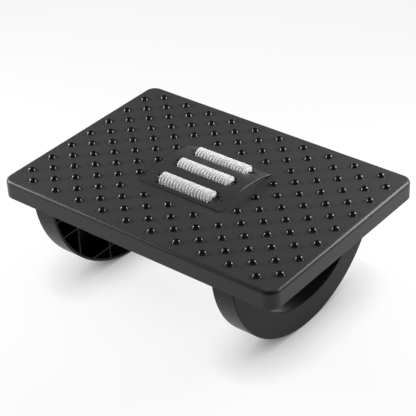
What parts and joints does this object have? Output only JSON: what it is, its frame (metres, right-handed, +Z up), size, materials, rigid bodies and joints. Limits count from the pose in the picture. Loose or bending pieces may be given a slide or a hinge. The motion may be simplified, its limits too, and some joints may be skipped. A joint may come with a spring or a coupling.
{
  "type": "tilting under desk footrest",
  "caption": "Rocking under desk footrest: domed deck on two half-ring rockers, with free massage rollers under an arched cover.",
  "frame": {"origin": "on the floor under the middle of the deck, where the rockers' lowest lines meet the ground", "axes": "+X along the deck's long side, +Y away from the sitter's feet towards the rear edge, +Z up"},
  "size_m": [0.45, 0.314, 0.1816],
  "materials": {
    "deck_plastic": "satin black moulded polypropylene, domes polished",
    "cover_plastic": "satin black moulded plastic",
    "rocker_plastic": "satin black moulded plastic",
    "roller_plastic": "white moulded plastic",
    "axle_steel": "blackened steel",
    "screw_steel": "black zinc"
  },
  "bodies": {
    "root": {"deck": "deck_plastic", "roller_cover": "cover_plastic", "roller_cover_screws": "screw_steel", "left_rocker": "rocker_plastic", "right_rocker": "rocker_plastic", "left_rocker_screws": "screw_steel", "right_rocker_screws": "screw_steel", "front_axle": "axle_steel", "middle_axle": "axle_steel", "rear_axle": "axle_steel"},
    "front_roller": {"front_roller": "roller_plastic"},
    "middle_roller": {"middle_roller": "roller_plastic"},
    "rear_roller": {"rear_roller": "roller_plastic"}
  },
  "joints": [
    {"name": "front_roller_spin", "type": "hinge", "parent": "root", "child": "front_roller", "pos_m": [0, -0.0378, 0.16854], "axis": [1, 0, 0], "continuous": true},
    {"name": "middle_roller_spin", "type": "hinge", "parent": "root", "child": "middle_roller", "pos_m": [0, 0, 0.1711], "axis": [1, 0, 0], "continuous": true},
    {"name": "rear_roller_spin", "type": "hinge", "parent": "root", "child": "rear_roller", "pos_m": [0, 0.0378, 0.16854], "axis": [1, 0, 0], "continuous": true}
  ]
}
